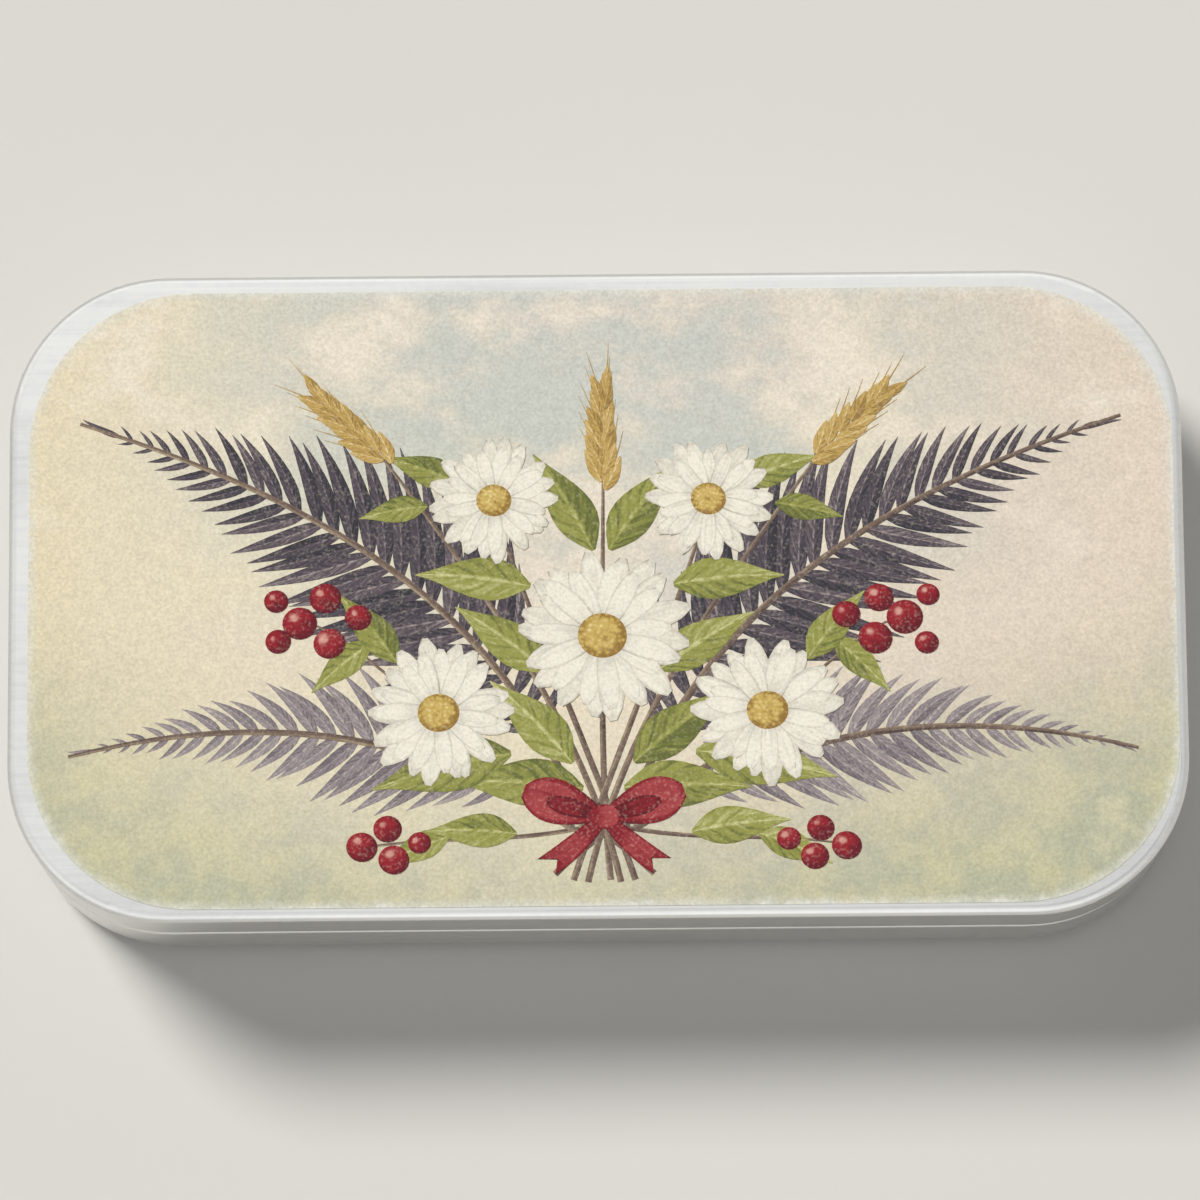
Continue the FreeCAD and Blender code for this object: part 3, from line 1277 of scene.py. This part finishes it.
@dataclass
class BerrySprigs:
    """Small round berries in loose clusters, the same to both sides: x, y and size of each."""

    height: float = 0.058
    seed: int = 61
    radius: float = 1.7
    place_play: Spot = (-0.4, 0.4)
    turn_play: Spot = (-12.0, 12.0)
    size_play: Spot = (0.92, 1.08)
    ink: InkFinish = InkFinish("berry_ink", InkShape.DISC, "5E1420", "94242E", "D49A8E")

    LEVELS = 5
    RIGHT_BERRIES = (
        (29.5, -2.4, 1.0),
        (27.0, -0.4, 0.9),
        (26.6, -4.4, 0.95),
        (23.8, -2.2, 0.8),
        (31.6, -4.6, 0.75),
        (23.5, -24.7, 0.9),
        (21.0, -23.0, 0.8),
        (20.4, -26.2, 0.85),
        (17.9, -24.4, 0.7),
        (31.8, -0.4, 0.7),
    )

    def build(self, sheet: LabelSheet) -> list[Piece]:
        """Draw the berries.

        Args:
            sheet: The label that carries them.

        Returns:
            The film.
        """
        film = Film("berries", self.height, self.seed)
        model = Disc(self.radius).model()
        for level, (x, y, size) in enumerate(self.RIGHT_BERRIES):
            for mirror in (1.0, -1.0):
                place = (mirror * x, y + film.draw.uniform(*self.place_play))
                turn = film.draw.uniform(*self.turn_play)
                grown = size * film.draw.uniform(*self.size_play)
                film.lay(model, place, turn, level % self.LEVELS, grown)
        Bench.discard(model)
        return [film.print_on(sheet, self.ink)]


@dataclass
class RibbonBow:
    """A bow round the stems: two loops with dark folds inside, two forked tails and a knot."""

    height: float = 0.058
    seed: int = 67
    knot: Spot = (0.0, -21.8)
    knot_radius: float = 1.5
    knot_squeeze: float = 0.8
    knot_tone: float = 0.8
    loop_length: float = 8.2
    loop_width: float = 4.4
    loop_turn: float = 72.0
    loop_tone: float = 0.6
    fold_turn: float = 74.0
    fold_size: float = 0.7
    fold_slim: float = 0.6
    fold_tone: float = -0.9
    tail_length: float = 7.4
    tail_width: float = 2.3
    tail_turn: float = 42.0
    tail_bend: float = 0.9
    tail_notch: float = 1.3
    tail_tone: float = 0.3
    loop_shares: Shares = (0.22, 0.38, 0.54, 0.68, 0.81, 0.91, 0.98, 1.0, 0.97, 0.86, 0.66, 0.3)
    tail_shares: Shares = (0.5, 0.66, 0.8, 0.9, 0.96, 1.0, 1.0)
    ink: InkFinish = InkFinish("ribbon_ink", InkShape.PETAL, "5A121C", "82202A", "A8474A", 4.0)

    TAIL_LEVEL = 0
    LOOP_LEVEL = 2
    FOLD_LEVEL = 4
    KNOT_LEVEL = 6

    def build(self, sheet: LabelSheet) -> list[Piece]:
        """Draw the bow.

        Args:
            sheet: The label that carries it.

        Returns:
            The film.
        """
        film = Film("ribbon_bow", self.height, self.seed)
        loop = Blade(self.loop_length, self.loop_width, self.loop_shares).model()
        knot = Disc(self.knot_radius, squeeze=self.knot_squeeze).model()
        for order, mirror in enumerate((1.0, -1.0)):
            bend = mirror * self.tail_bend
            tail = Blade(
                self.tail_length, self.tail_width, self.tail_shares, bend, self.tail_notch
            ).model()
            tail_turn = -90.0 + mirror * self.tail_turn
            loop_turn = 90.0 - mirror * self.loop_turn
            fold_turn = 90.0 - mirror * self.fold_turn
            film.lay(tail, self.knot, tail_turn, self.TAIL_LEVEL + order, tone=self.tail_tone)
            film.lay(loop, self.knot, loop_turn, self.LOOP_LEVEL + order, tone=self.loop_tone)
            film.lay(
                loop, self.knot, fold_turn, self.FOLD_LEVEL + order,
                self.fold_size, self.fold_slim, self.fold_tone,
            )
            Bench.discard(tail)
        film.lay(knot, self.knot, 0.0, self.KNOT_LEVEL, tone=self.knot_tone)
        Bench.discard(loop, knot)
        return [film.print_on(sheet, self.ink)]


@dataclass
class Daisies:
    """Five daisies with two rings of petals and a stippled eye each: x, y and size of each.

    A ring is its count of petals, their reach and the direction of the first one.
    """

    petal_height: float = 0.068
    petal_seed: int = 71
    petal_length: float = 8.4
    petal_width: float = 2.5
    petal_bends: Triple = (-0.6, 0.0, 0.6)
    eye_height: float = 0.078
    eye_seed: int = 73
    eye_radius: float = 2.4
    eye_corners: int = 28
    eye_squeeze: float = 0.92
    rings: tuple[tuple[int, float, float], ...] = ((18, 1.0, 0.0), (15, 0.86, 11.0))
    ring_tone: float = 0.35
    turn_play: Spot = (-4.0, 4.0)
    size_play: Spot = (0.92, 1.06)
    tone_play: Spot = (0.15, 0.6)
    eye_turn_play: Spot = (-10.0, 10.0)
    petal_shares: Shares = (0.34, 0.52, 0.7, 0.86, 0.97, 1.0, 0.95, 0.76, 0.3)
    petal_ink: InkFinish = InkFinish(
        "daisy_petal_ink", InkShape.PETAL, "A59F93", "D9D4C5", "F2EDDE", 5.0
    )
    eye_ink: InkFinish = InkFinish("daisy_eye_ink", InkShape.EYE, "95743A", "CDB062", "EBDCA4", 10.0)

    RING_LEVELS = 3
    PLACES = (
        (0.0, -4.0, 1.0),
        (-16.0, -11.5, 0.85),
        (16.0, -11.5, 0.85),
        (-10.5, 9.5, 0.72),
        (10.5, 9.5, 0.72),
    )

    def build(self, sheet: LabelSheet) -> list[Piece]:
        """Draw the flowers.

        Args:
            sheet: The label that carries them.

        Returns:
            The films of the petals and of the eyes.
        """
        petals = Film("daisy_petals", self.petal_height, self.petal_seed)
        eyes = Film("daisy_eyes", self.eye_height, self.eye_seed)
        curls = [
            Blade(self.petal_length, self.petal_width, self.petal_shares, bend).model()
            for bend in self.petal_bends
        ]
        eye = Disc(self.eye_radius, self.eye_corners, self.eye_squeeze).model()
        for x, y, size in self.PLACES:
            for ring, (count, reach, first) in enumerate(self.rings):
                for index in range(count):
                    turn = first + 360.0 * index / count + petals.draw.uniform(*self.turn_play)
                    grown = size * reach * petals.draw.uniform(*self.size_play)
                    tone = petals.draw.uniform(*self.tone_play) + self.ring_tone * ring
                    curl = petals.draw.choice(curls)
                    level = self.RING_LEVELS * ring + index % self.RING_LEVELS
                    petals.lay(curl, (x, y), turn, level, grown, tone=tone)
            eyes.lay(eye, (x, y), eyes.draw.uniform(*self.eye_turn_play), size=size)
        Bench.discard(*curls, eye)
        return [petals.print_on(sheet, self.petal_ink), eyes.print_on(sheet, self.eye_ink)]


@dataclass
class TinBody:
    """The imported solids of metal, which keep their shapes and get their finishes."""

    sheet_finish: MetalFinish = MetalFinish(
        "satin_tinplate",
        tone="E2E2DF",
        dull_tone="BCBEBE",
        speck_tone="6E6C68",
        roughness=0.3,
        streak_scale=(30.0, 2400.0, 2400.0),
        smudge_share=0.3,
    )
    wire_finish: MetalFinish = MetalFinish(
        "drawn_steel_wire",
        tone="CFCFCD",
        dull_tone="96989A",
        speck_tone="55534F",
        roughness=0.3,
        streak_scale=(40.0, 2600.0, 2600.0),
        smudge_share=0.5,
    )

    def build(self) -> list[Piece]:
        """Dress the base, the lid and the hinge wire.

        Returns:
            The dressed objects.
        """
        sheet = self.sheet_finish.material()
        wire = self.wire_finish.material()
        pieces = []
        for node, finish in (("base", sheet), ("lid", sheet), ("hinge_wire", wire)):
            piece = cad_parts[node]
            for slot in piece.material_slots:
                slot.material = finish
            pieces.append(piece)
        return pieces


@dataclass
class Studio:
    """The pale floor, the soft light and the camera at the photograph's angle."""

    elevation: float = 79.88
    roll: float = -0.52
    distance: float = 617.7 * MM
    aim: Triple = (0.30 * MM, 0.31 * MM, 15.0 * MM)
    focal_pixels: float = 6267.3
    picture_pixels: float = 1200.0
    sensor: float = 36.0
    clip: Spot = (0.01, 20.0)
    floor_size: float = 6.0
    floor_drop: float = 0.02 * MM
    floor_tones: tuple[str, str] = ("D8D6D1", "DEDCD8")
    floor_mottle: float = 7.0
    floor_roughness: float = 0.7
    fill: float = 0.29
    wall_foot: float = 0.62
    wall_rise: float = 0.3
    ends_gain: float = 0.34
    right_loss: float = 0.3
    overhead_gain: float = 0.6
    overhead_loss: float = 0.5
    key_strength: float = 3.1
    key_spread: float = 20.0
    key_tint: Triple = (1.0, 0.985, 0.96)
    key_from: Triple = (-0.5, 0.5, 0.72)

    def build(self) -> None:
        """Set the stage."""
        self.floor()
        self.world()
        self.key()
        self.camera()
        bpy.context.scene.view_settings.view_transform = "Standard"

    def floor(self) -> None:
        """Lay a wide pale floor."""
        Bench.clear()
        location = (0.0, 0.0, -self.floor_drop)
        bpy.ops.mesh.primitive_plane_add(size=self.floor_size, location=location)
        floor = bpy.context.view_layer.objects.active
        floor.name = "pale_floor"
        Bench.settle(floor)
        board = NodeBoard.for_material("floor_paint")
        mottle = board.noise(board.place(), self.floor_mottle, 2.0)
        tint = board.mix(mottle, colour(self.floor_tones[0]), colour(self.floor_tones[1]))
        floor.data.materials.append(board.dress(Base_Color=tint, Roughness=self.floor_roughness))

    def world(self) -> None:
        """Fill the room with light, and let metal see pale walls, brightest before and behind it."""
        board = NodeBoard.for_world("soft_room")
        rays = board.node("ShaderNodeLightPath", {}, {})
        kinds = ("Is Camera Ray", "Is Glossy Ray", "Is Transmission Ray")
        straight, glossy, through = (Term(board, rays.outputs[kind]) for kind in kinds)
        seen = straight.most(glossy).most(through)
        outward = board.node("ShaderNodeTexCoord", {}, {}).outputs["Generated"]
        right, back, high = board.parts(outward)
        belt = high.rise(0.05, 0.3) * high.rise(0.97, 0.6)
        sides = abs(back).rise(0.15, 0.7) * self.ends_gain - right.rise(0.15, 0.8) * self.right_loss
        ceiling = back.rise(0.12, 0.3) * self.overhead_gain - right.rise(0.02, 0.2) * self.overhead_loss
        walls = self.wall_foot + high.rise(0.0, 0.3) * self.wall_rise
        walls = walls + belt * sides + high.rise(0.86, 0.96) * ceiling
        strength = self.fill + (walls - self.fill) * seen
        bpy.context.scene.world = board.dress(Color=(1.0, 1.0, 1.0, 1.0), Strength=strength)

    def key(self) -> None:
        """Hang a broad lamp to the upper left, behind the tin."""
        lamp = bpy.data.lights.new("key_lamp", "SUN")
        lamp.energy = self.key_strength
        lamp.angle = math.radians(self.key_spread)
        lamp.color = self.key_tint
        holder = bpy.data.objects.new("key_lamp", lamp)
        bpy.context.scene.collection.objects.link(holder)
        holder.visible_glossy = False
        holder.rotation_mode = "QUATERNION"
        holder.rotation_quaternion = Vector(self.key_from).to_track_quat("Z", "Y")

    def camera(self) -> None:
        """Stand the camera where the photograph was taken from."""
        rise = math.radians(self.elevation)
        turn = math.radians(self.roll)
        back = Vector((0.0, -math.cos(rise), math.sin(rise)))
        level = Vector((1.0, 0.0, 0.0))
        upright = back.cross(level)
        right = math.cos(turn) * level + math.sin(turn) * upright
        up = math.cos(turn) * upright - math.sin(turn) * level
        lens = bpy.data.cameras.new("photo_camera")
        lens.sensor_width = self.sensor
        lens.lens = self.focal_pixels / self.picture_pixels * self.sensor
        lens.clip_start, lens.clip_end = self.clip
        camera = bpy.data.objects.new("photo_camera", lens)
        bpy.context.scene.collection.objects.link(camera)
        turned = Matrix((right, up, back)).transposed().to_4x4()
        camera.matrix_world = Matrix.Translation(Vector(self.aim) + self.distance * back) @ turned
        bpy.context.scene.camera = camera


def main() -> None:
    """Build the tin's looks and report each piece."""
    logging.basicConfig(level=logging.INFO, format="%(name)s: %(message)s")
    rear_ink = InkFinish("rear_fern_ink", InkShape.BLADE, "6A6268", "958B8D", "C2BAB3")
    front_ink = InkFinish("front_fern_ink", InkShape.BLADE, "2B2B32", "554D54", "9A8E8D")
    sheet = LabelSheet()
    motifs = (
        FernFronds(
            "low_frond", Sweep.LOW, height=0.006, seed=11, ink=rear_ink,
            pairs=22, longest=9.5, broad=1.7, fullest=0.36,
        ),
        FernFronds(
            "high_frond", Sweep.HIGH, height=0.016, seed=23, ink=front_ink,
            pairs=26, longest=14.5, broad=2.1, fullest=0.42,
        ),
        StemStrokes(),
        OliveLeaves(),
        WheatEars(),
        BerrySprigs(),
        RibbonBow(),
        Daisies(),
    )
    pieces = TinBody().build() + sheet.build()
    for motif in motifs:
        pieces += motif.build(sheet)
    Studio().build()
    for piece in pieces:
        LOG.info("%s: %d faces", piece.name, len(piece.data.polygons))


if __name__ == "__main__":
    main()
